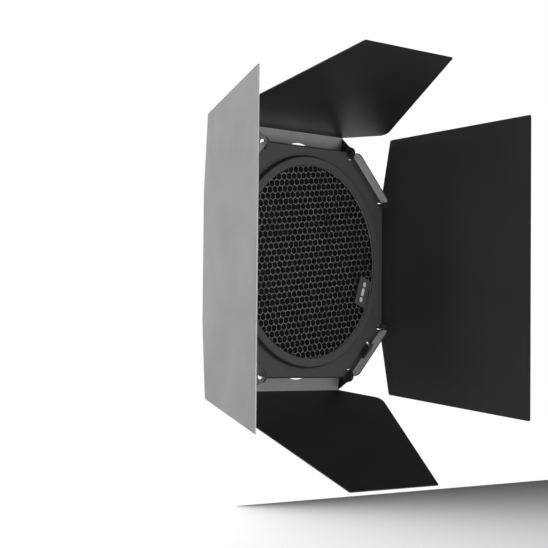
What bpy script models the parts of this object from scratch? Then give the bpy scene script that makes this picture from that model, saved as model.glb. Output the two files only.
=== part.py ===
"""Four-leaf barn door for a 7 inch studio reflector.

A stamped octagonal frame plate carries a round opening with a removable
honeycomb grid. Four bent sheet-metal leaves swing on eight equal rivets at the
plate's edges. Three fixed claws and one sliding claw on the back take the rim
of the reflector.

Axes: -Y is the front (the way the light leaves), +Z is up, +X is to the right
of someone who looks along +Y. The origin is on the optical axis in the plane
of the plate's back face.
"""
import math

import bmesh
import bpy
from mathutils import Matrix, Vector

ENLARGE = 1.034           # the dimensions below are drawn for a 167 mm opening; the real one is 172.7 mm across
METRE = 0.001 * ENLARGE   # everything is modelled in those millimetres and brought to real size once, at the end

# ---------------------------------------------------------------- dimensions
SHEET = 1.2               # frame plate thickness
BACK = 0.0                # y of the plate's back face
FRONT = BACK - SHEET      # y of the plate's front face
HALF = 100.7              # half the distance across the octagon's straight sides
FLAT = 56.2               # half the length of a straight side
DIAG = (HALF + FLAT) / math.sqrt(2.0)   # centre to the chamfered sides
BACK_LIP = 5.0            # depth of the plate with its backward lip
CHAMFER_FLANGE = 8.4      # height of the forward flange on each chamfer
FLANGE_HALF = 28.6        # half length of that flange
OPENING_R = 83.5          # clear opening
RING_R = 91.6             # outside of the raised ring
RING_RISE = 3.8           # how far the ring stands in front of the plate
RING_SEAM = 95.0          # where the pressed ring runs into the flat plate
SEAT_STEP = 0.2           # the channel's floor is this much deeper under the grid's rim than where the reflector's edge rests
SLOT_IN, SLOT_OUT = 52.9, 57.4          # corner slots, along the side
SLOT_FLOOR = 93.2         # bottom of the corner slots

PIVOT_H = 99.0            # hinge axis to the optical axis
PIVOT_Y = FRONT + 0.5     # hinge axis, in the plate's own plane
LEAF_T = 1.0              # leaf sheet thickness
LEAF_A, LEAF_B = -2.9, 17.8   # bend line, measured from the hinge axis
STRIP_W = 14.0            # hinge strip, from the bend to its free edge
STRIP_TILT = math.radians(59.0)         # strip against leaf
STRIP_HALF = 55.3         # half length of the strip between the ears
EAR_IN, EAR_OUT = 55.3, 56.3
EAR_R = 5.4
LUG_IN, LUG_OUT = 53.75, 54.6
LUG_R = 5.0
WASHER_IN, WASHER_OUT = 54.8, 55.1
RIVET_SHANK, RIVET_HOLE, RIVET_HEAD = 1.5, 1.7, 2.6   # radii of the hinge rivets and their holes
WASHER_R = 4.4            # outside radius of the friction washers
RELIEF_R, RELIEF_TOP = 30.0, 9.9        # finger relief in the strip

# leaf outlines: half widths at the bend, the shoulder and the outer edge
TALL_LEAF = dict(bend=54.9, shoulder=116.8, shoulder_v=9.0, outer=139.2, length=137.2, r_shoulder=2.0, r_outer=1.5)
NARROW_LEAF = dict(bend=54.9, shoulder=102.2, shoulder_v=13.9, outer=56.6, length=137.6, r_shoulder=6.5, r_outer=1.5)

# opening angles from straight ahead, as the leaves stand at rest
OPEN_TOP, OPEN_BOTTOM, OPEN_LEFT, OPEN_RIGHT = 25.2, 34.2, 26.8, 34.9

GRID_R = 86.4             # outside of the grid's rim
GRID_WALL = 0.8
GRID_DEPTH = 11.5
CORE_R = 85.2
CORE_DEPTH = 10.0
TAG_POLAR = -19.4         # where the tag sits on the grid
CLAW_R = 94.2             # inside of the claws' walls
CLAW_HALF = 8.0
CLAW_TRAVEL = 2.2         # how far the sliding claw moves inwards
STUD_D = 101.3            # the sliding claw's stud, from the axis
STOP_T, STOP_Y = 6.8, 2.0 # small rivet in the lower right flange, along it and forward of the plate

RING_SEGMENTS = 96


# ------------------------------------------------------------------- helpers
def clear_scene():
    for item in list(bpy.data.objects):
        bpy.data.objects.remove(item, do_unlink=True)


def material(name, colour, roughness, metallic):
    mat = bpy.data.materials.new(name)
    mat.use_nodes = True
    shader = mat.node_tree.nodes["Principled BSDF"]
    shader.inputs["Base Color"].default_value = (*colour, 1.0)
    shader.inputs["Roughness"].default_value = roughness
    shader.inputs["Metallic"].default_value = metallic
    mat.diffuse_color = (*colour, 1.0)
    return mat


def mesh_object(name, bm, mat=None, sharp=35.0, smooth=True):
    bmesh.ops.recalc_face_normals(bm, faces=bm.faces)
    mesh = bpy.data.meshes.new(name)
    bm.to_mesh(mesh)
    bm.free()
    if smooth:
        mesh.shade_smooth()
        mesh.set_sharp_from_angle(angle=math.radians(sharp))
    else:
        mesh.shade_flat()
    obj = bpy.data.objects.new(name, mesh)
    bpy.context.scene.collection.objects.link(obj)
    if mat is not None:
        mesh.materials.append(mat)
    return obj


def prism(outline, low, high, place):
    """Closed prism of a 2-D outline between two levels; place(p, q, level) gives the point."""
    bm = bmesh.new()
    bottom = [bm.verts.new(Vector(place(p, q, low))) for p, q in outline]
    face = bm.faces.new(bottom)
    grown = bmesh.ops.extrude_face_region(bm, geom=[face])
    shift = (Vector(place(0, 0, high)) - Vector(place(0, 0, low)))
    bmesh.ops.translate(bm, vec=shift, verts=[v for v in grown["geom"] if isinstance(v, bmesh.types.BMVert)])
    bmesh.ops.recalc_face_normals(bm, faces=bm.faces)
    return bm


def rounded(points, radii, steps=4):
    """Polygon with each corner replaced by an arc of its own radius."""
    out = []
    count = len(points)
    for index in range(count):
        here = Vector(points[index])
        before = Vector(points[index - 1])
        after = Vector(points[(index + 1) % count])
        radius = radii[index]
        if radius <= 0:
            out.append(tuple(here))
            continue
        one = (before - here).normalized()
        two = (after - here).normalized()
        half = one.angle(two) / 2.0
        reach = radius / math.tan(half)
        start = here + one * reach
        end = here + two * reach
        centre = here + (one + two).normalized() * (radius / math.sin(half))
        a0 = math.atan2(start.y - centre.y, start.x - centre.x)
        a1 = math.atan2(end.y - centre.y, end.x - centre.x)
        sweep = (a1 - a0 + math.pi) % (2 * math.pi) - math.pi
        for k in range(steps + 1):
            angle = a0 + sweep * k / steps
            out.append((centre.x + radius * math.cos(angle), centre.y + radius * math.sin(angle)))
    return out


def arc(cx, cy, radius, start, stop, steps):
    return [(cx + radius * math.cos(math.radians(start + (stop - start) * k / steps)),
             cy + radius * math.sin(math.radians(start + (stop - start) * k / steps))) for k in range(steps + 1)]


def turned(profile, segments):
    """Closed ring: a profile of (radius, y) turned about the Y axis."""
    bm = bmesh.new()
    rows = []
    for k in range(segments):
        angle = 2 * math.pi * k / segments
        rows.append([bm.verts.new((r * math.cos(angle), y, r * math.sin(angle))) for r, y in profile])
    size = len(profile)
    for k in range(segments):
        one, two = rows[k], rows[(k + 1) % segments]
        for j in range(size):
            bm.faces.new((one[j], one[(j + 1) % size], two[(j + 1) % size], two[j]))
    bmesh.ops.recalc_face_normals(bm, faces=bm.faces)
    return bm


def disc(radius, low, high, segments, round_edge=0.0):
    """Closed disc about the Y axis."""
    outline = [(radius * math.cos(2 * math.pi * k / segments), radius * math.sin(2 * math.pi * k / segments)) for k in range(segments)]
    return prism(outline, low, high, lambda p, q, s: (p, s, q))


def boolean(target, cutter_bm, operation):
    """Apply an exact Boolean with a closed cutter."""
    mesh = bpy.data.meshes.new("cutter")
    cutter_bm.to_mesh(mesh)
    cutter_bm.free()
    cutter = bpy.data.objects.new("cutter", mesh)
    bpy.context.scene.collection.objects.link(cutter)
    cutter.hide_render = True
    cutter.display_type = 'WIRE'
    mod = target.modifiers.new("cut", 'BOOLEAN')
    mod.operation = operation
    mod.solver = 'EXACT'
    mod.object = cutter
    graph = bpy.context.evaluated_depsgraph_get()
    graph.update()
    result = bpy.data.meshes.new_from_object(target.evaluated_get(graph))
    target.modifiers.remove(mod)
    old = target.data
    target.data = result
    bpy.data.meshes.remove(old)
    bpy.data.objects.remove(cutter, do_unlink=True)
    bpy.data.meshes.remove(mesh)


def finish(obj, mat, sharp=35.0):
    """Merge what the Booleans left within a micrometre, flatten flat areas, shade and paint."""
    bm = bmesh.new()
    bm.from_mesh(obj.data)
    bmesh.ops.remove_doubles(bm, verts=bm.verts, dist=2e-4)
    bmesh.ops.dissolve_degenerate(bm, dist=1e-4, edges=bm.edges)
    bmesh.ops.dissolve_limit(bm, angle_limit=math.radians(0.05), verts=bm.verts, edges=bm.edges)
    bmesh.ops.recalc_face_normals(bm, faces=bm.faces)
    bm.to_mesh(obj.data)
    bm.free()
    obj.data.materials.clear()
    obj.data.materials.append(mat)
    obj.data.shade_smooth()
    obj.data.set_sharp_from_angle(angle=math.radians(sharp))


def plate_with_ring(outline, profile):
    """Closed flat plate with a pressed ring round its opening; the profile runs from the front face to the back."""
    bm = bmesh.new()
    front = [bm.verts.new((x, FRONT, z)) for x, z in outline]
    back = [bm.verts.new((x, BACK, z)) for x, z in outline]
    rows = []
    for k in range(RING_SEGMENTS):
        angle = 2 * math.pi * k / RING_SEGMENTS
        rows.append([bm.verts.new((r * math.cos(angle), y, r * math.sin(angle))) for r, y in profile])
    for k in range(RING_SEGMENTS):
        one, two = rows[k], rows[(k + 1) % RING_SEGMENTS]
        for j in range(len(profile) - 1):
            bm.faces.new((one[j], one[j + 1], two[j + 1], two[j]))
    count = len(outline)
    for k in range(count):
        n = (k + 1) % count
        bm.faces.new((front[k], front[n], back[n], back[k]))
    for loop, column in ((front, 0), (back, len(profile) - 1)):
        edges = [bm.edges.get((loop[k], loop[(k + 1) % count])) for k in range(count)]
        edges += [bm.edges.get((rows[k][column], rows[(k + 1) % RING_SEGMENTS][column])) for k in range(RING_SEGMENTS)]
        bmesh.ops.triangle_fill(bm, use_beauty=True, use_dissolve=False, edges=edges)
    bmesh.ops.recalc_face_normals(bm, faces=bm.faces)
    return bm


def turn_about_y(degrees):
    return Matrix.Rotation(math.radians(degrees), 4, 'Y')


def transformed(bm, matrix):
    bmesh.ops.transform(bm, matrix=matrix, verts=bm.verts)
    return bm


# ---------------------------------------------------------------- materials
PAINT = material("frame_paint", (0.030, 0.030, 0.032), 0.42, 0.0)
LEAF_PAINT = material("leaf_paint", (0.026, 0.026, 0.028), 0.38, 0.0)
STEEL = material("rivet_steel", (0.055, 0.055, 0.058), 0.35, 0.8)
NYLON = material("washer_nylon", (0.02, 0.02, 0.02), 0.5, 0.0)
GRID = material("grid_black", (0.010, 0.010, 0.011), 0.45, 0.3)
TAG = material("tag_plastic", (0.045, 0.045, 0.048), 0.4, 0.0)
SPRING = material("spring_steel", (0.35, 0.35, 0.36), 0.35, 1.0)
SCREW = material("screw_zinc", (0.55, 0.55, 0.57), 0.3, 1.0)
PAD = material("claw_rubber", (0.015, 0.015, 0.015), 0.8, 0.0)


# ---------------------------------------------------------------- frame plate
def build_frame_plate():
    # flat octagon whose sides stop short of the rounded bends
    flat_h = HALF - 3.7
    flat_d = DIAG - 1.6
    corner = flat_d * math.sqrt(2.0) - flat_h
    points = []
    for x, z in ((corner, flat_h), (-corner, flat_h), (-flat_h, corner), (-flat_h, -corner),
                 (-corner, -flat_h), (corner, -flat_h), (flat_h, -corner), (flat_h, corner)):
        points.append((x, z))
    f = FRONT
    top = f - RING_RISE
    ring = [(RING_SEAM, f), (RING_R + 1.9, f)] \
        + arc(RING_R + 1.5, f - 1.3, 1.3, 65, 165, 2) \
        + arc(RING_R - 1.5, top + 1.4, 1.4, 10, -90, 3) \
        + [(OPENING_R + 1.1, top)] + arc(OPENING_R + 0.8, top + 0.8, 0.8, -90, -180, 2) \
        + [(OPENING_R, top + SHEET + 0.3), (OPENING_R + 1.0, top + SHEET - SEAT_STEP), (GRID_R + 0.1, top + SHEET - SEAT_STEP), (GRID_R + 0.4, top + SHEET)] \
        + [(RING_R - 1.9, top + SHEET), (RING_R - 1.3, top + SHEET + 0.6), (RING_R - 1.1, f - 0.6), (RING_R + 0.1, BACK - 0.2), (RING_R + 1.0, BACK), (RING_SEAM, BACK)]
    plate = mesh_object("frame_plate", plate_with_ring(points, ring))

    # backward lips along the straight sides, with a rounded bend
    r_out = 1.9
    e = 0.012  # each joined leg is this much thinner than the plate it runs into
    lip = [(FRONT + e, HALF - 4.9)] + arc(FRONT + e + r_out, HALF - r_out, r_out, 180, 90, 5) \
        + [(FRONT + BACK_LIP, HALF), (FRONT + BACK_LIP, HALF - SHEET)] \
        + arc(FRONT + r_out, HALF - r_out, r_out - SHEET + e, 90, 180, 3) + [(BACK - e, HALF - 4.9)]
    for turn in range(4):
        piece = prism(lip, -SLOT_IN - 1.5, SLOT_IN + 1.5, lambda p, q, s: (s, p, q))
        boolean(plate, transformed(piece, turn_about_y(90 * turn)), 'UNION')

    # forward flanges on the chamfers
    inner_r = 1.0
    d_in = DIAG - 0.6
    bend = [(BACK - e, DIAG - 3.1), (FRONT + e, DIAG - 3.1)] \
        + arc(FRONT + e - inner_r, d_in - inner_r, inner_r, 0, 90, 4) \
        + [(FRONT - 3.0, d_in), (FRONT - 3.0, d_in + SHEET)] \
        + arc(FRONT + e - inner_r, d_in - inner_r, inner_r + SHEET - 2 * e, 90, 0, 6)
    leg = rounded([(-FLANGE_HALF, FRONT - 2.0), (-FLANGE_HALF, FRONT - CHAMFER_FLANGE), (FLANGE_HALF, FRONT - CHAMFER_FLANGE), (FLANGE_HALF, FRONT - 2.0)], [0, 3.6, 3.6, 0], 6)
    for turn in (45, 135, 225, 315):
        piece = prism(bend, -FLANGE_HALF, FLANGE_HALF, lambda p, q, s: (s, p, q))
        boolean(plate, transformed(piece, turn_about_y(turn)), 'UNION')
        piece = prism(leg, d_in + e, d_in + SHEET - 3 * e, lambda p, q, s: (p, q, s))
        boolean(plate, transformed(piece, turn_about_y(turn)), 'UNION')

    # slots at the ends of the straight sides, clear through the bends
    for turn in range(4):
        for low, high in ((SLOT_IN, SLOT_OUT), (-SLOT_OUT, -SLOT_IN)):
            piece = prism([(low, SLOT_FLOOR), (high, SLOT_FLOOR), (high, HALF + 3), (low, HALF + 3)], FRONT - 5, BACK + 4.6, lambda p, q, s: (p, s, q))
            boolean(plate, transformed(piece, turn_about_y(90 * turn)), 'DIFFERENCE')

    # window at the lower right chamfer for the sliding claw's finger tab
    window = prism(rounded([(-9.2, 104.9), (6.2, 104.9), (6.2, 109.0), (-9.2, 109.0)], [0.8] * 4, 3), FRONT - 4, BACK + 4, lambda p, q, s: (p, s, q))
    boolean(plate, transformed(window, turn_about_y(135)), 'DIFFERENCE')
    # hole in the lower right flange for its small rivet
    hole = prism(arc(STOP_T, FRONT - STOP_Y, 0.9, 0, 330, 11), DIAG - 5, DIAG + 5, lambda p, q, s: (p, q, s))
    boolean(plate, transformed(hole, turn_about_y(135)), 'DIFFERENCE')
    finish(plate, PAINT)
    return plate


# ------------------------------------------------------------- hinge brackets
def lug_outline(y0=1.3):
    """Round nose on the hinge axis with a foot behind the plate; (y, z) from the pivot."""
    start = math.degrees(math.atan2(-math.sqrt(LUG_R ** 2 - (BACK + 0.3 - PIVOT_Y) ** 2), BACK + 0.3 - PIVOT_Y))
    outline = [(BACK + 0.3 - PIVOT_Y, -10.0), (LUG_R, -10.0)]
    outline += arc(0, 0, LUG_R, 0, 360 + start, 26)
    return outline


def build_bracket(name, side_turn, end, mirror_mesh=None):
    """Lug in the corner slot and a foot welded behind the plate. Local frame: pivot at the origin."""
    place = lambda p, q, s: (s, p, q)
    lug = prism(lug_outline(), LUG_IN, LUG_OUT, place)
    obj = mesh_object(name, lug)
    foot_y = BACK + 0.3 - PIVOT_Y
    foot = prism(rounded([(41.0, -10.0), (LUG_IN + 0.6, -10.0), (LUG_IN + 0.6, -4.6), (41.0, -4.6)], [1.5, 0, 0, 1.5], 3), foot_y, foot_y + 1.0, lambda p, q, s: (p, s, q))
    boolean(obj, foot, 'UNION')
    hole = prism(arc(0, 0, RIVET_HOLE, 0, 345, 23), LUG_IN - 1, LUG_OUT + 1, place)
    boolean(obj, hole, 'DIFFERENCE')
    if end < 0:
        flip = Matrix.Scale(-1, 4, Vector((1, 0, 0)))
        bm = bmesh.new()
        bm.from_mesh(obj.data)
        bmesh.ops.transform(bm, matrix=flip, verts=bm.verts)
        bmesh.ops.reverse_faces(bm, faces=bm.faces)
        bm.to_mesh(obj.data)
        bm.free()
    finish(obj, PAINT)
    place_at_hinge(obj, side_turn)
    return obj


def place_at_hinge(obj, side_turn, tilt=0.0):
    """Put a piece modelled about the hinge axis on its side of the frame."""
    turn = turn_about_y(side_turn)
    centre = turn @ Vector((0, PIVOT_Y, PIVOT_H))
    obj.location = centre
    obj.rotation_euler = (turn @ Matrix.Rotation(-math.radians(tilt), 4, 'X')).to_euler()


# --------------------------------------------------------------------- leaves
def strip_point(w, off=0.0):
    """Point on the strip, w from the bend, in (forward, outward) from the pivot."""
    ux, uy = -math.cos(STRIP_TILT), -math.sin(STRIP_TILT)
    nx, ny = math.sin(STRIP_TILT), -math.cos(STRIP_TILT)
    return LEAF_A + ux * w + nx * off, LEAF_B + uy * w + ny * off


def build_leaf(name, shape, side_turn, tilt):
    """Blade, hinge strip and two ears bent from one sheet. Local: X along the hinge, -Y forward, Z outward."""
    t = LEAF_T / 2.0
    blade_outline = rounded([
        (shape["bend"], 0.0), (shape["shoulder"], shape["shoulder_v"]), (shape["outer"], shape["length"]),
        (-shape["outer"], shape["length"]), (-shape["shoulder"], shape["shoulder_v"]), (-shape["bend"], 0.0)],
        [0, shape["r_shoulder"], shape["r_outer"], shape["r_outer"], shape["r_shoulder"], 0], 6)
    leaf = mesh_object(name, prism(blade_outline, LEAF_B - t, LEAF_B + t, lambda p, q, s: (p, -(LEAF_A + q), s)))

    # rounded bend between blade and strip
    bend = prism(arc(LEAF_A, LEAF_B, t, 0, 345, 23), -shape["bend"], shape["bend"], lambda p, q, s: (s, -p, q))
    boolean(leaf, bend, 'UNION')

    # strip with its finger relief
    chord = math.sqrt(RELIEF_R ** 2 - (RELIEF_R - (STRIP_W - RELIEF_TOP)) ** 2)
    centre_w = RELIEF_TOP + RELIEF_R
    a_end = math.degrees(math.atan2(STRIP_W - centre_w, chord))
    relief = arc(0, centre_w, RELIEF_R, a_end, -180 - a_end, 14)
    strip_outline = [(-STRIP_HALF - 0.5, 0.0), (STRIP_HALF + 0.5, 0.0), (STRIP_HALF + 0.5, STRIP_W)] + relief + [(-STRIP_HALF - 0.5, STRIP_W)]

    def strip_place(p, q, s):
        forward, outward = strip_point(q, s)
        return p, -forward, outward
    boolean(leaf, prism(strip_outline, -t, t, strip_place), 'UNION')

    # ears
    tip = strip_point(STRIP_W - 0.3, -t + 0.05)
    apex = strip_point(0.9, 0.35)
    ear = [apex, (1.1, 6.8)] + arc(0, 0, EAR_R, 58, -190, 18) + [tip, strip_point(0.9, -t + 0.05)]
    for low, high in ((EAR_IN, EAR_OUT), (-EAR_OUT, -EAR_IN)):
        boolean(leaf, prism(ear, low, high, lambda p, q, s: (s, -p, q)), 'UNION')
    bore = prism(arc(0, 0, RIVET_HOLE, 0, 345, 23), -60, 60, lambda p, q, s: (s, -p, q))
    boolean(leaf, bore, 'DIFFERENCE')
    finish(leaf, LEAF_PAINT, 30.0)
    place_at_hinge(leaf, side_turn, tilt)
    return leaf


# ------------------------------------------------------------ rivets, washers
def turned_x(profile, segments=16):
    """Profile of (radius, x) turned about the X axis."""
    bm = turned(profile, segments)
    return transformed(bm, Matrix.Rotation(math.radians(-90), 4, 'Z'))


def capped_x(profile, segments=16):
    """Closed solid turned about the X axis, flat at both ends."""
    bm = bmesh.new()
    rows = []
    for r, x in profile:
        rows.append([bm.verts.new((x, r * math.cos(2 * math.pi * k / segments), r * math.sin(2 * math.pi * k / segments))) for k in range(segments)])
    for one, two in zip(rows, rows[1:]):
        for k in range(segments):
            n = (k + 1) % segments
            bm.faces.new((one[k], one[n], two[n], two[k]))
    bm.faces.new(rows[0])
    bm.faces.new(rows[-1])
    bmesh.ops.recalc_face_normals(bm, faces=bm.faces)
    return bm


def build_rivet(name, side_turn, end):
    """Solid hinge rivet: flat clinched end inside the lug, low domed head outside the ear."""
    inner, outer = LUG_IN - 0.2, EAR_OUT + 0.2
    s, h = RIVET_SHANK, RIVET_HEAD
    bm = capped_x([(h - 0.3, inner - 0.35), (h, inner - 0.1), (h, inner), (s, inner),
                   (s, outer), (h, outer), (h - 0.2, outer + 0.25), (h - 0.8, outer + 0.48), (h - 1.7, outer + 0.6)])
    if end < 0:
        transformed(bm, Matrix.Rotation(math.pi, 4, 'Z'))
    obj = mesh_object(name, bm, STEEL, 40.0)
    place_at_hinge(obj, side_turn)
    return obj


def build_washer(name, side_turn, end):
    profile = [(RIVET_HOLE, WASHER_IN), (WASHER_R, WASHER_IN), (WASHER_R, WASHER_OUT), (RIVET_HOLE, WASHER_OUT)]
    bm = turned_x(profile)
    if end < 0:
        transformed(bm, Matrix.Rotation(math.pi, 4, 'Z'))
    obj = mesh_object(name, bm, NYLON, 40.0)
    place_at_hinge(obj, side_turn)
    return obj


# ------------------------------------------------------------- honeycomb grid
def build_grid():
    top = FRONT - RING_RISE + SHEET + 0.3
    rim = [(GRID_R, top), (GRID_R, top + GRID_DEPTH), (GRID_R - GRID_WALL, top + GRID_DEPTH), (GRID_R - GRID_WALL, top)]
    mesh_object("grid_rim", turned(rim, RING_SEGMENTS), GRID)
    core_top = top + 0.2
    outline = [(CORE_R * math.cos(2 * math.pi * k / 96), CORE_R * math.sin(2 * math.pi * k / 96)) for k in range(96)]
    bm = prism(outline, core_top, core_top + CORE_DEPTH, lambda p, q, s: (p, s, q))
    mesh_object("honeycomb_core", bm, GRID)
    # blank tag on the front of the grid, its long sides along the rim
    tag = prism(rounded([(-7.2, -13.0), (7.2, -13.0), (7.2, 13.0), (-7.2, 13.0)], [1.2] * 4, 3), -0.5, 0.5, lambda p, q, s: (p, s, q))
    obj = mesh_object("grid_tag", tag, TAG)
    a = math.radians(TAG_POLAR)
    obj.location = Vector((73.6 * math.cos(a), core_top - 0.3 - 0.5, 73.6 * math.sin(a)))
    obj.rotation_euler = (0, -a, 0)
    return top


def build_grid_clip(name, polar, rim_back):
    """Spring clip: foot behind the plate, finger over the grid's rim."""
    y0 = BACK + 0.3
    y1 = rim_back + 0.3
    path = [(95.6, y0), (95.6, y0 + 0.6), (91.4, y0 + 0.6), (89.4, y1 + 0.6), (83.2, y1 + 0.6), (83.2, y1), (88.9, y1), (90.9, y0)]
    bm = prism(path, -5.0, 5.0, lambda p, q, s: (p, q, s))
    obj = mesh_object(name, bm, SPRING, 25.0)
    obj.rotation_euler = (0, -math.radians(polar), 0)
    return obj


# ------------------------------------------------------------------ claws
def claw_profile(foot_out):
    y0 = BACK + 0.3
    t = 1.2
    depth = 9.4
    return ([(foot_out, y0), (foot_out, y0 + t), (CLAW_R + t + 0.9, y0 + t), (CLAW_R + t, y0 + t + 0.9), (CLAW_R + t, y0 + depth - 1.0), (CLAW_R + t - 1.0, y0 + depth),
             (CLAW_R - 4.6, y0 + depth), (CLAW_R - 4.6, y0 + depth - t), (CLAW_R - 0.9, y0 + depth - t), (CLAW_R, y0 + depth - t - 0.9), (CLAW_R, y0)])


def build_claw(name, polar):
    bm = prism(claw_profile(107.5), -CLAW_HALF, CLAW_HALF, lambda p, q, s: (p, q, s))
    obj = mesh_object(name, bm, PAINT, 25.0)
    obj.rotation_euler = (0, -math.radians(polar), 0)
    return obj


def build_sliding_claw(name, polar):
    """Claw with a slot for its screw and a finger tab through the plate's window."""
    y0 = BACK + 0.3
    t = 1.2
    obj = mesh_object(name, prism(claw_profile(108.7), -CLAW_HALF, CLAW_HALF, lambda p, q, s: (p, q, s)))
    tab = prism(rounded([(FRONT - 5.2, -5.6), (FRONT - 5.2, 8.4), (y0 + t, 8.4), (y0 + t, -5.6)], [1.6, 1.6, 0, 0], 4), 107.5, 108.7, lambda p, q, s: (s, p, q))
    boolean(obj, tab, 'UNION')
    slot = prism(arc(STUD_D - 0.2, 0, 1.7, 90, 270, 10) + arc(STUD_D + CLAW_TRAVEL + 0.2, 0, 1.7, -90, 90, 10), y0 - 1, y0 + t + 1, lambda p, q, s: (p, s, q))
    boolean(obj, slot, 'DIFFERENCE')
    finish(obj, PAINT, 25.0)
    obj.rotation_euler = (0, -math.radians(polar), 0)
    return obj


def build_pad(name, polar):
    """Rubber pad on the inside of a claw's hook."""
    y0 = BACK + 0.3
    high = y0 + 9.4 - 1.2 - 0.3
    bm = prism(rounded([(CLAW_R - 4.4, -6.0), (CLAW_R - 1.2, -6.0), (CLAW_R - 1.2, 6.0), (CLAW_R - 4.4, 6.0)], [0.6] * 4, 2), high - 0.9, high, lambda p, q, s: (p, s, q))
    obj = mesh_object(name, bm, PAD)
    obj.rotation_euler = (0, -math.radians(polar), 0)
    return obj


def build_stud_and_nut(polar):
    """Stud welded to the plate's back through the claw's slot, and its thumb nut."""
    a = math.radians(polar)
    seat = BACK + 0.3 + 1.2
    bm = prism(arc(0, 0, 1.3, 0, 342, 19), BACK + 0.3, seat + 5.2, lambda p, q, s: (p, s, q))
    obj = mesh_object("claw_stud", bm, SCREW, 40.0)
    obj.location = Vector((STUD_D * math.cos(a), 0, STUD_D * math.sin(a)))
    teeth = 20
    outline = []
    for k in range(teeth * 2):
        radius = 4.7 if k % 2 == 0 else 4.3
        angle = math.pi * k / teeth
        outline.append((radius * math.cos(angle), radius * math.sin(angle)))
    nut = mesh_object("claw_nut", prism(outline, seat + 0.3, seat + 3.9, lambda p, q, s: (p, s, q)))
    hole = prism(arc(0, 0, 1.6, 0, 342, 19), seat - 1, seat + 6, lambda p, q, s: (p, s, q))
    boolean(nut, hole, 'DIFFERENCE')
    finish(nut, SCREW, 30.0)
    nut.location = Vector((STUD_D * math.cos(a), 0, STUD_D * math.sin(a)))


def build_flange_rivet():
    """Small rivet through the lower right flange, beside the window."""
    d_in = DIAG - 0.6
    profile = [(0.0, d_in - 0.9), (0.8, d_in - 0.7), (1.2, d_in - 0.2), (0.65, d_in - 0.2), (0.65, d_in + SHEET + 0.2), (1.2, d_in + SHEET + 0.2), (1.0, d_in + SHEET + 0.6), (0.0, d_in + SHEET + 0.7)]
    bm = bmesh.new()
    rings = []
    count = 14
    for r, d in profile:
        if r <= 0:
            rings.append([bm.verts.new(Vector((STOP_T, FRONT - STOP_Y, d)))])
        else:
            rings.append([bm.verts.new(Vector((STOP_T + r * math.cos(2 * math.pi * k / count), FRONT - STOP_Y + r * math.sin(2 * math.pi * k / count), d))) for k in range(count)])
    for one, two in zip(rings, rings[1:]):
        for k in range(count):
            n = (k + 1) % count
            if len(one) == 1:
                bm.faces.new((one[0], two[n], two[k]))
            elif len(two) == 1:
                bm.faces.new((one[k], one[n], two[0]))
            else:
                bm.faces.new((one[k], one[n], two[n], two[k]))
    obj = mesh_object("flange_rivet", bm, SCREW, 40.0)
    obj.rotation_euler = (0, math.radians(135), 0)


# ------------------------------------------------------------------- assembly
def main():
    clear_scene()
    build_frame_plate()
    sides = (("top", 0, NARROW_LEAF, OPEN_TOP), ("right", 90, TALL_LEAF, OPEN_RIGHT),
             ("bottom", 180, NARROW_LEAF, OPEN_BOTTOM), ("left", -90, TALL_LEAF, OPEN_LEFT))
    for side, turn, shape, tilt in sides:
        build_leaf("leaf_" + side, shape, turn, tilt)
        for tag, end in (("a", 1), ("b", -1)):
            build_bracket("hinge_bracket_%s_%s" % (side, tag), turn, end)
            build_washer("friction_washer_%s_%s" % (side, tag), turn, end)
            build_rivet("hinge_rivet_%s_%s" % (side, tag), turn, end)
    top = build_grid()
    for number, polar in enumerate((0.0, 180.0, 270.0)):
        build_grid_clip("grid_clip_%d" % (number + 1), polar, top + GRID_DEPTH)
    for name, polar in (("upper_right", 45), ("upper_left", 135), ("lower_left", 225)):
        build_claw("claw_" + name, polar)
        build_pad("claw_pad_" + name, polar)
    build_sliding_claw("claw_sliding", -45)
    build_pad("claw_pad_sliding", -45)
    build_stud_and_nut(-45)
    build_flange_rivet()
    for obj in bpy.context.scene.collection.objects:
        obj.data.transform(Matrix.Scale(METRE, 4))
        obj.location = obj.location * METRE


main()
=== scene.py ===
"""Looks for the barn door: powder coat, honeycomb grid, blank tag, rivets, floor, lights and camera."""
import math

import bmesh
import bpy
from mathutils import Matrix, Vector


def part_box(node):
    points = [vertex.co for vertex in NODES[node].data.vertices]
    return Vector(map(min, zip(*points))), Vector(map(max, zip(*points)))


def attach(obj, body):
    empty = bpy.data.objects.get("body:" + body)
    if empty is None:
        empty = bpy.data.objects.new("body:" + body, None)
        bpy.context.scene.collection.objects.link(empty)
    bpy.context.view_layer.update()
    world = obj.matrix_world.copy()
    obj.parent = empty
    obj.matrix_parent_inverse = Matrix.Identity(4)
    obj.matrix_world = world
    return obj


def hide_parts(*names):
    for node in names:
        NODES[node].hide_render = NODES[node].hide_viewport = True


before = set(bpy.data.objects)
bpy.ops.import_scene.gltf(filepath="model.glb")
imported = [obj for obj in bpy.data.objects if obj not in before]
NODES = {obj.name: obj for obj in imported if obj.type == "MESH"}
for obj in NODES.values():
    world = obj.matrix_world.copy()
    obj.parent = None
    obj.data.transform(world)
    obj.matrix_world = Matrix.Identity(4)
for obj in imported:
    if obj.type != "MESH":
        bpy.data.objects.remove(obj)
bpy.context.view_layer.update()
SIDES = ("top", "right", "bottom", "left")


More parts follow.
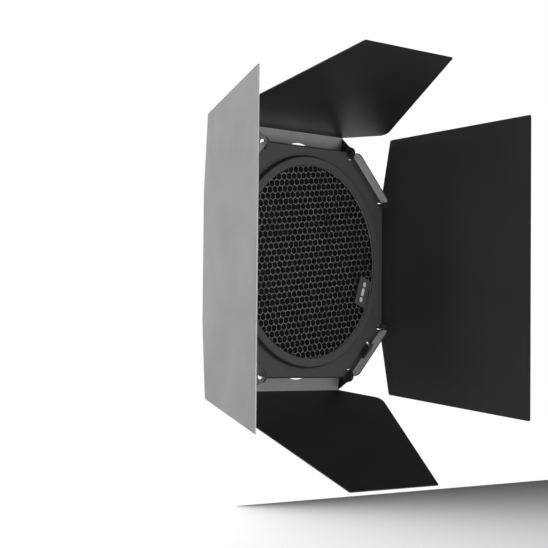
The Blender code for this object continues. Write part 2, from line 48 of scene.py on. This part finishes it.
# ------------------------------------------------------------------ materials
class Graph:
    """Small helper for node materials."""

    def __init__(self, name):
        self.mat = bpy.data.materials.new(name)
        self.mat.use_nodes = True
        self.tree = self.mat.node_tree
        self.shader = self.tree.nodes["Principled BSDF"]
        self.place = self.tree.nodes.new("ShaderNodeTexCoord")

    def node(self, kind, **values):
        made = self.tree.nodes.new(kind)
        for key, value in values.items():
            if hasattr(made, key):
                setattr(made, key, value)
            else:
                made.inputs[key].default_value = value
        return made

    def link(self, one, two):
        self.tree.links.new(one, two)

    def noise(self, scale, detail=2.0, rough=0.5, stretch=(1.0, 1.0, 1.0)):
        mapping = self.node("ShaderNodeMapping")
        mapping.inputs["Scale"].default_value = stretch
        self.link(self.place.outputs["Object"], mapping.inputs["Vector"])
        noise = self.node("ShaderNodeTexNoise")
        noise.inputs["Scale"].default_value = scale
        noise.inputs["Detail"].default_value = detail
        noise.inputs["Roughness"].default_value = rough
        self.link(mapping.outputs["Vector"], noise.inputs["Vector"])
        return noise.outputs["Fac"]

    def ramp(self, source, low, high, a, b):
        ramp = self.node("ShaderNodeValToRGB")
        ramp.color_ramp.elements[0].position = low
        ramp.color_ramp.elements[1].position = high
        ramp.color_ramp.elements[0].color = (*a, 1.0)
        ramp.color_ramp.elements[1].color = (*b, 1.0)
        self.link(source, ramp.inputs["Fac"])
        return ramp.outputs["Color"]

    def span(self, source, low, high, a, b):
        span = self.node("ShaderNodeMapRange")
        span.inputs["From Min"].default_value = low
        span.inputs["From Max"].default_value = high
        span.inputs["To Min"].default_value = a
        span.inputs["To Max"].default_value = b
        self.link(source, span.inputs["Value"])
        return span.outputs["Result"]

    def mix(self, fac, a, b, mode="MIX"):
        mix = self.node("ShaderNodeMix")
        mix.data_type = "RGBA"
        mix.blend_type = mode
        if isinstance(fac, (int, float)):
            mix.inputs[0].default_value = fac
        else:
            self.link(fac, mix.inputs[0])
        for socket, value in ((mix.inputs[6], a), (mix.inputs[7], b)):
            if isinstance(value, tuple):
                socket.default_value = (*value, 1.0)
            else:
                self.link(value, socket)
        return mix.outputs[2]

    def maths(self, operation, a, b):
        made = self.node("ShaderNodeMath", operation=operation)
        for socket, value in ((made.inputs[0], a), (made.inputs[1], b)):
            if isinstance(value, (int, float)):
                socket.default_value = value
            else:
                self.link(value, socket)
        return made.outputs[0]

    def bump(self, height, distance, strength=1.0, chain=None):
        bump = self.node("ShaderNodeBump")
        bump.inputs["Strength"].default_value = strength
        bump.inputs["Distance"].default_value = distance
        self.link(height, bump.inputs["Height"])
        if chain is not None:
            self.link(chain, bump.inputs["Normal"])
        return bump.outputs["Normal"]


def powder_coat(name, dark, light, rough, grain=2600.0, speckle=0.0):
    """Fine-textured black powder coat: orange peel, tiny grain, faint handling haze."""
    g = Graph(name)
    haze = g.noise(14.0, 4.0, 0.6)
    peel = g.noise(900.0, 2.0, 0.5)
    fine = g.noise(grain, 2.0, 0.6)
    colour = g.ramp(haze, 0.3, 0.75, dark, light)
    specks = g.span(fine, 0.35, 0.75, 0.82, 1.22)
    tint = g.node("ShaderNodeHueSaturation")
    g.link(colour, tint.inputs["Color"])
    g.link(specks, tint.inputs["Value"])
    g.link(tint.outputs["Color"], g.shader.inputs["Base Color"])
    roughness = g.span(haze, 0.3, 0.75, rough - 0.03, rough + 0.05)
    g.link(roughness, g.shader.inputs["Roughness"])
    first = g.bump(peel, 0.00006, 0.5)
    g.link(g.bump(fine, 0.00004, 0.6, first), g.shader.inputs["Normal"])
    g.shader.inputs["Metallic"].default_value = 0.0
    g.shader.inputs["IOR"].default_value = 1.5
    return g.mat


def bare_metal(name, colour, rough, scratch=(1.0, 1.0, 12.0)):
    g = Graph(name)
    grain = g.noise(700.0, 3.0, 0.6, scratch)
    stain = g.noise(120.0, 3.0, 0.6)
    dull = tuple(c * 0.7 for c in colour)
    g.link(g.ramp(stain, 0.3, 0.7, dull, colour), g.shader.inputs["Base Color"])
    g.link(g.span(grain, 0.3, 0.7, rough - 0.07, rough + 0.1), g.shader.inputs["Roughness"])
    g.link(g.bump(grain, 0.00003, 0.5), g.shader.inputs["Normal"])
    g.shader.inputs["Metallic"].default_value = 1.0
    return g.mat


def moulded(name, dark, light, rough, grain=1500.0):
    g = Graph(name)
    cloud = g.noise(90.0, 3.0, 0.6)
    fine = g.noise(grain, 2.0, 0.5)
    g.link(g.ramp(cloud, 0.3, 0.7, dark, light), g.shader.inputs["Base Color"])
    g.link(g.span(cloud, 0.3, 0.7, rough - 0.05, rough + 0.05), g.shader.inputs["Roughness"])
    g.link(g.bump(fine, 0.00005, 0.5), g.shader.inputs["Normal"])
    return g.mat


PLATE = powder_coat("plate_powder_coat", (0.036, 0.036, 0.037), (0.046, 0.046, 0.047), 0.46)
LEAF = powder_coat("leaf_powder_coat", (0.0062, 0.0062, 0.0065), (0.0092, 0.0092, 0.0096), 0.42)
# light grey standing in for the grazing reflection and highlight that the black paint shows on the hinge strips and the
# ring's inner wall: painted reflection, not wear
PAINTED_REFLECTION = powder_coat("painted_reflection_grey", (0.42, 0.42, 0.425), (0.54, 0.54, 0.545), 0.5)
# lighter grey standing in for the reflection on the chamfer flanges' inner faces and the highlight on the left leaf's
# end edge: painted reflection and painted highlight, not wear
FLANGE_PAINTED_REFLECTION = powder_coat("painted_flange_reflection_grey", (0.62, 0.62, 0.625), (0.76, 0.76, 0.765), 0.5)
HEAD = bare_metal("rivet_head_steel", (0.82, 0.82, 0.83), 0.24)
RIVET = bare_metal("blackened_steel", (0.10, 0.10, 0.105), 0.34)
SPRING = bare_metal("spring_steel", (0.42, 0.42, 0.43), 0.30)
ZINC = bare_metal("zinc_plated", (0.62, 0.62, 0.64), 0.26)
WASHER = moulded("washer_nylon", (0.012, 0.012, 0.012), (0.02, 0.02, 0.02), 0.5)
PAD = moulded("pad_rubber", (0.010, 0.010, 0.010), (0.018, 0.018, 0.018), 0.8, 2200.0)
RIM = powder_coat("grid_rim_black", (0.008, 0.008, 0.008), (0.013, 0.013, 0.013), 0.38)


def foil_material():
    """Black anodised foil: satin walls with faint ribbon lines along the strips."""
    g = Graph("honeycomb_foil")
    line = g.noise(500.0, 2.0, 0.5, (1.0, 9.0, 1.0))
    cloud = g.noise(60.0, 3.0, 0.6)
    g.link(g.ramp(cloud, 0.3, 0.7, (0.0012, 0.0012, 0.0013), (0.0026, 0.0026, 0.0027)), g.shader.inputs["Base Color"])
    g.link(g.span(line, 0.3, 0.7, 0.34, 0.48), g.shader.inputs["Roughness"])
    g.link(g.bump(line, 0.00005, 0.5), g.shader.inputs["Normal"])
    g.shader.inputs["Specular IOR Level"].default_value = 0.05
    return g.mat


FOIL = foil_material()
CUT = bare_metal("foil_cut_edge", (0.85, 0.85, 0.86), 0.40)
TAG = moulded("tag_face", (0.030, 0.030, 0.031), (0.046, 0.046, 0.047), 0.42)
MARK = moulded("tag_mark", (0.62, 0.62, 0.62), (0.78, 0.78, 0.78), 0.45)


def paint(names, mat, bevel=0.0, segments=2, angle=35.0):
    for name in names:
        obj = NODES[name]
        obj.data.materials.clear()
        obj.data.materials.append(mat)
        if bevel:
            mod = obj.modifiers.new("soft_edges", "BEVEL")
            mod.width = bevel
            mod.segments = segments
            mod.limit_method = "ANGLE"
            mod.angle_limit = math.radians(angle)
            mod.use_clamp_overlap = True
            mod.harden_normals = False


ends = ("a", "b")
paint(["frame_plate"], PLATE)
paint(["hinge_bracket_%s_%s" % (s, e) for s in SIDES for e in ends], PLATE)
paint(["claw_upper_right", "claw_upper_left", "claw_lower_left", "claw_sliding"], PLATE, 0.00018)
paint(["leaf_" + s for s in SIDES], LEAF)
paint(["hinge_rivet_%s_%s" % (s, e) for s in SIDES for e in ends] + ["flange_rivet"], RIVET)
paint(["friction_washer_%s_%s" % (s, e) for s in SIDES for e in ends], WASHER)
paint(["grid_rim"], RIM, 0.0001)
paint(["grid_clip_1", "grid_clip_2", "grid_clip_3"], SPRING, 0.00012)
paint(["claw_stud", "claw_nut"], ZINC, 0.00015)
paint(["claw_pad_upper_right", "claw_pad_upper_left", "claw_pad_lower_left", "claw_pad_sliding"], PAD, 0.0002)
paint(["grid_tag"], TAG, 0.0002)


def repaint(name, mat, chosen):
    """Give a node's faces that pass the test their own finish."""
    mesh = NODES[name].data
    mesh.materials.append(mat)
    slot = len(mesh.materials) - 1
    for face in mesh.polygons:
        if chosen(face.center, face.normal):
            face.material_index = slot


SIZE = 1.034   # positions on the part below are drawn for a 167 mm opening and enlarged by this
SIDE_TURN = {"top": 0.0, "right": 90.0, "bottom": 180.0, "left": -90.0}
OPEN = {"top": 25.2, "bottom": 34.2, "left": 26.8, "right": 34.9}


def hinge_frame(side, p, tilt):
    """Point or direction in a leaf's own frame: (along the hinge, forward, outward)."""
    turned = Matrix.Rotation(-math.radians(SIDE_TURN[side]), 3, "Y") @ p
    return Matrix.Rotation(math.radians(tilt), 3, "X") @ turned


for side in SIDES:
    pivot = Vector((0, -0.0007, 0.099)) * SIZE

    def on_strip(centre, normal, side=side):
        local = hinge_frame(side, centre, 0) - pivot
        local = Matrix.Rotation(math.radians(OPEN[side]), 3, "X") @ local
        n = hinge_frame(side, normal, OPEN[side])
        return abs(local.x) < 0.0556 * SIZE and local.z < 0.0176 * SIZE and n.y < -0.2 and abs(n.x) < 0.3
    # the hinge strip faces of each leaf get the light grey painted reflection
    repaint("leaf_" + side, PAINTED_REFLECTION, on_strip)

    # polished crown of the rivet heads, outside the ears
    for tag in "ab":
        repaint("hinge_rivet_%s_%s" % (side, tag), HEAD, lambda c, n, side=side: abs(hinge_frame(side, c, 0).x) > 0.0565 * SIZE)

# the inner wall of the ring opening gets the light grey painted highlight
repaint("frame_plate", PAINTED_REFLECTION, lambda c, n: math.hypot(c.x, c.z) < 0.0842 * SIZE and n.x * c.x + n.z * c.z < 0 and abs(n.y) < 0.25)
# the inner faces of the chamfer flanges get the lighter grey painted reflection
repaint("frame_plate", FLANGE_PAINTED_REFLECTION, lambda c, n: (abs(c.x) + abs(c.z)) / math.sqrt(2) > 0.1098 * SIZE and c.y < -0.0015 * SIZE and (abs(n.x) + abs(n.z)) > 0.8 and n.x * c.x + n.z * c.z < 0)


def on_left_end(centre, normal):
    """Outer end edge of the left leaf."""
    local = hinge_frame("left", centre, 0) - Vector((0, -0.0007, 0.099)) * SIZE
    local = Matrix.Rotation(math.radians(OPEN["left"]), 3, "X") @ local
    return -local.y > 0.1335 * SIZE and hinge_frame("left", normal, OPEN["left"]).y < -0.8


# the left leaf's outer end edge gets the lighter grey painted highlight, on this leaf only
repaint("leaf_left", FLANGE_PAINTED_REFLECTION, on_left_end)


# ------------------------------------------------------------------ honeycomb
def hash01(i, j, k=0):
    value = math.sin(i * 127.1 + j * 311.7 + k * 74.7) * 43758.5453
    return value - math.floor(value)


def clip_convex(polygon, limit):
    """The part of a polygon inside a convex polygon, both counter-clockwise."""
    out = polygon
    count = len(limit)
    for k in range(count):
        if not out:
            return []
        ax, az = limit[k]
        bx, bz = limit[(k + 1) % count]
        side = lambda p: (bx - ax) * (p[1] - az) - (bz - az) * (p[0] - ax)
        kept = []
        for index, here in enumerate(out):
            after = out[(index + 1) % len(out)]
            s0, s1 = side(here), side(after)
            if s0 >= 0:
                kept.append(here)
            if (s0 > 0 > s1) or (s0 < 0 < s1):
                t = s0 / (s0 - s1)
                kept.append((here[0] + (after[0] - here[0]) * t, here[1] + (after[1] - here[1]) * t))
        out = kept
    return out


def area_of(polygon):
    return 0.5 * sum(polygon[k - 1][0] * polygon[k][1] - polygon[k][0] * polygon[k - 1][1] for k in range(len(polygon)))


def inset(polygon, distance):
    """Each corner moved inwards so that every side moves by the distance."""
    out = []
    count = len(polygon)
    for k in range(count):
        here = Vector(polygon[k])
        d0 = (here - Vector(polygon[k - 1]))
        d1 = (Vector(polygon[(k + 1) % count]) - here)
        if d0.length < 1e-7 or d1.length < 1e-7:
            return []
        d0.normalize()
        d1.normalize()
        n0, n1 = Vector((-d0.y, d0.x)), Vector((-d1.y, d1.x))
        half = n0 + n1
        if half.length < 1e-6:
            return []
        half.normalize()
        out.append(tuple(here + half * (distance / max(0.35, half.dot(n0)))))
    if area_of(out) <= 0:
        return []
    return out


def build_honeycomb():
    low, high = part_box("honeycomb_core")
    radius = (high.x - low.x) / 2 - 0.00005
    front, back = low.y, high.y
    pitch = 0.00635                       # across the flats, and from cell to cell along a row
    side = pitch / math.sqrt(3.0)
    row = side * 1.5
    wall = 0.00011
    lean = math.radians(6.1)              # the foil lies a little turned in its rim
    limit = [(radius * math.cos(2 * math.pi * k / 160), radius * math.sin(2 * math.pi * k / 160)) for k in range(160)]
    # lattice corners with the small unevenness of pulled foil
    def corner(cx, cz, k):
        angle = math.radians(90 + 60 * k)
        x, z = cx + side * math.cos(angle), cz + side * math.sin(angle)
        i, j = round(x / (pitch / 2)), round(z / (side / 2))
        x, z = x + 0.00022 * (hash01(i, j, 1) - 0.5), z + 0.00022 * (hash01(i, j, 2) - 0.5)
        return (x * math.cos(lean) - z * math.sin(lean), x * math.sin(lean) + z * math.cos(lean))

    bm = bmesh.new()
    table = {}

    def vert(x, z, y):
        key = (round(x * 2e6), round(z * 2e6), y)
        if key not in table:
            table[key] = bm.verts.new((x, y, z))
        return table[key]

    border = {}
    rows = int(radius / row) + 2
    columns = int(radius / pitch) + 2
    for j in range(-rows, rows + 1):
        for i in range(-columns, columns + 1):
            cx = (i + (0.5 if j % 2 else 0.0)) * pitch
            cz = j * row
            if math.hypot(cx, cz) > radius + side:
                continue
            cell = [corner(cx, cz, k) for k in range(6)]
            if any(math.hypot(*p) > radius - 1e-5 for p in cell):
                cell = clip_convex(cell, limit)
                if len(cell) < 3 or area_of(cell) < 1.2e-6:
                    if len(cell) < 3 or area_of(cell) < 1e-9:
                        continue
                    inner = []
                else:
                    inner = inset(cell, wall / 2)
            else:
                inner = inset(cell, wall / 2)
            outer_f = [vert(x, z, front) for x, z in cell]
            outer_b = [vert(x, z, back) for x, z in cell]
            count = len(cell)
            for k in range(count):
                a, b = outer_f[k], outer_f[(k + 1) % count]
                if a is b:
                    continue
                border[(a, b)] = (outer_b[k], outer_b[(k + 1) % count])
            if not inner:
                for ring, flip in ((outer_f, False), (outer_b, True)):
                    loop = [v for n, v in enumerate(ring) if v is not ring[n - 1]]
                    if len(loop) >= 3:
                        try:
                            bm.faces.new(loop if not flip else loop[::-1])
                        except ValueError:
                            pass
                continue
            inner_f = [bm.verts.new((x, front, z)) for x, z in inner]
            inner_b = [bm.verts.new((x, back, z)) for x, z in inner]
            for k in range(count):
                n = (k + 1) % count
                quads = [(inner_f[k], inner_f[n], inner_b[n], inner_b[k])]
                if outer_f[k] is not outer_f[n]:
                    quads.append((outer_f[k], outer_f[n], inner_f[n], inner_f[k]))
                    quads.append((outer_b[n], outer_b[k], inner_b[k], inner_b[n]))
                else:
                    quads.append((outer_f[k], inner_f[n], inner_f[k]))
                    quads.append((outer_b[k], inner_b[k], inner_b[n]))
                for quad in quads:
                    try:
                        bm.faces.new(quad)
                    except ValueError:
                        pass
    # the outside of the disc
    for (a, b), (c, d) in border.items():
        if (b, a) not in border:
            bm.faces.new((b, a, c, d))
    bmesh.ops.recalc_face_normals(bm, faces=bm.faces)
    for face in bm.faces:
        face.material_index = 1 if abs(face.normal.y) > 0.9 else 0
    mesh = bpy.data.meshes.new("honeycomb_cells")
    bm.to_mesh(mesh)
    bm.free()
    mesh.shade_flat()
    obj = bpy.data.objects.new("honeycomb_cells", mesh)
    bpy.context.scene.collection.objects.link(obj)
    mesh.materials.append(FOIL)
    mesh.materials.append(CUT)
    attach(obj, "frame")
    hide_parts("honeycomb_core")
    return obj


build_honeycomb()


# ---------------------------------------------------------- plain mark on tag
def build_tag_mark():
    """Three plain raised dashes along the tag, in place of any lettering."""
    low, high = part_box("grid_tag")
    centre = (low + high) / 2
    polar = math.atan2(centre.z, centre.x)
    radial = Vector((math.cos(polar), 0, math.sin(polar)))
    along = Vector((-math.sin(polar), 0, math.cos(polar)))
    y = low.y - 0.00012
    bm = bmesh.new()
    for shift, half in ((-0.0074, 0.0024), (0.0, 0.0038), (0.0074, 0.0024)):
        outline = []
        r = 0.0018
        for k in range(24):
            angle = 2 * math.pi * k / 24
            end = half - r if math.sin(angle) >= 0 else -(half - r)
            outline.append((r * math.cos(angle), shift + end + r * math.sin(angle)))
        face = bm.faces.new([bm.verts.new(centre * 0 + radial * (centre.dot(radial) + p) + along * (centre.dot(along) + q) + Vector((0, y, 0))) for p, q in outline])
        grown = bmesh.ops.extrude_face_region(bm, geom=[face])
        bmesh.ops.translate(bm, vec=(0, 0.0001, 0), verts=[v for v in grown["geom"] if isinstance(v, bmesh.types.BMVert)])
    bmesh.ops.recalc_face_normals(bm, faces=bm.faces)
    mesh = bpy.data.meshes.new("tag_mark")
    bm.to_mesh(mesh)
    bm.free()
    obj = bpy.data.objects.new("tag_mark", mesh)
    bpy.context.scene.collection.objects.link(obj)
    mesh.materials.append(MARK)
    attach(obj, "frame")


build_tag_mark()


# ------------------------------------------------------------- floor and light
def staged(name, points, faces, colour):
    mesh = bpy.data.meshes.new(name)
    mesh.from_pydata(points, [], faces)
    obj = bpy.data.objects.new(name, mesh)
    bpy.context.scene.collection.objects.link(obj)
    g = Graph(name + "_paint")
    g.shader.inputs["Base Color"].default_value = (*colour, 1.0)
    g.shader.inputs["Roughness"].default_value = 0.9
    mesh.materials.append(g.mat)
    return obj


FLOOR = -0.55
staged("floor", [(-9, -7, FLOOR), (9, -7, FLOOR), (9, 2.6, FLOOR), (-9, 2.6, FLOOR)], [(0, 1, 2, 3)], (0.9, 0.9, 0.9))


def area_light(name, place, target, size, energy, size_y=None):
    data = bpy.data.lights.new(name, "AREA")
    data.energy = energy
    data.size = size
    if size_y:
        data.shape = "RECTANGLE"
        data.size_y = size_y
    obj = bpy.data.objects.new(name, data)
    bpy.context.scene.collection.objects.link(obj)
    obj.location = place
    obj.rotation_euler = (Vector(target) - Vector(place)).to_track_quat("-Z", "Y").to_euler()
    return obj


def build_world():
    world = bpy.data.worlds.new("studio")
    bpy.context.scene.world = world
    world.use_nodes = True
    tree = world.node_tree
    back = tree.nodes["Background"]
    back.inputs["Color"].default_value = (1, 1, 1, 1)
    back.inputs["Strength"].default_value = 1.0
    path = tree.nodes.new("ShaderNodeLightPath")
    dim = tree.nodes.new("ShaderNodeBackground")
    mix = tree.nodes.new("ShaderNodeMixShader")
    out = tree.nodes["World Output"]
    dim.inputs["Color"].default_value = (1, 1, 1, 1)
    dim.inputs["Strength"].default_value = 0.06
    tree.links.new(path.outputs["Is Camera Ray"], mix.inputs["Fac"])
    tree.links.new(dim.outputs["Background"], mix.inputs[1])
    tree.links.new(back.outputs["Background"], mix.inputs[2])
    tree.links.new(mix.outputs["Shader"], out.inputs["Surface"])


build_world()

WALL_Y, WALL_W, WALL_H = 2.6, 9.0, 5.2
area_light("back_wall_light", (-2.0, WALL_Y, FLOOR + WALL_H / 2), (-2.0, 0.0, FLOOR + WALL_H / 2), WALL_W, 2.65 * math.pi * WALL_W * WALL_H, WALL_H)
area_light("right_softbox", (2.3, -2.1, 0.2), (0, 0, 0), 2.4, 1.2 * math.pi * 2.4 * 2.4, 2.4)
area_light("top_softbox", (-0.4, -1.8, 3.0), (0, 0, 0), 3.0, 1.6 * math.pi * 3.0 * 3.0, 3.0)
area_light("left_softbox", (-3.0, -0.40, 0.5), (0, 0, 0), 0.8, 5.0 * math.pi * 0.8 * 2.4, 2.4)

scene = bpy.context.scene
scene.view_settings.view_transform = "Standard"

# ---------------------------------------------------------------------- camera
camera_data = bpy.data.cameras.new("camera")
camera_data.sensor_width = 36.0
camera_data.lens = 1727.37 / 548.0 * 36.0
camera_data.clip_start = 0.01
camera_data.clip_end = 100.0
camera = bpy.data.objects.new("camera", camera_data)
scene.collection.objects.link(camera)
right = Vector((0.69348, -0.72041, 0.00945))
up = Vector((-0.03686, -0.02238, 0.99907))
ahead = Vector((0.71953, 0.69318, 0.04207))
turn = Matrix((right, up, -ahead)).transposed().to_4x4()
turn.translation = Vector((-1.09636, -1.01739, -0.07387)) * SIZE
camera.matrix_world = turn
scene.camera = camera
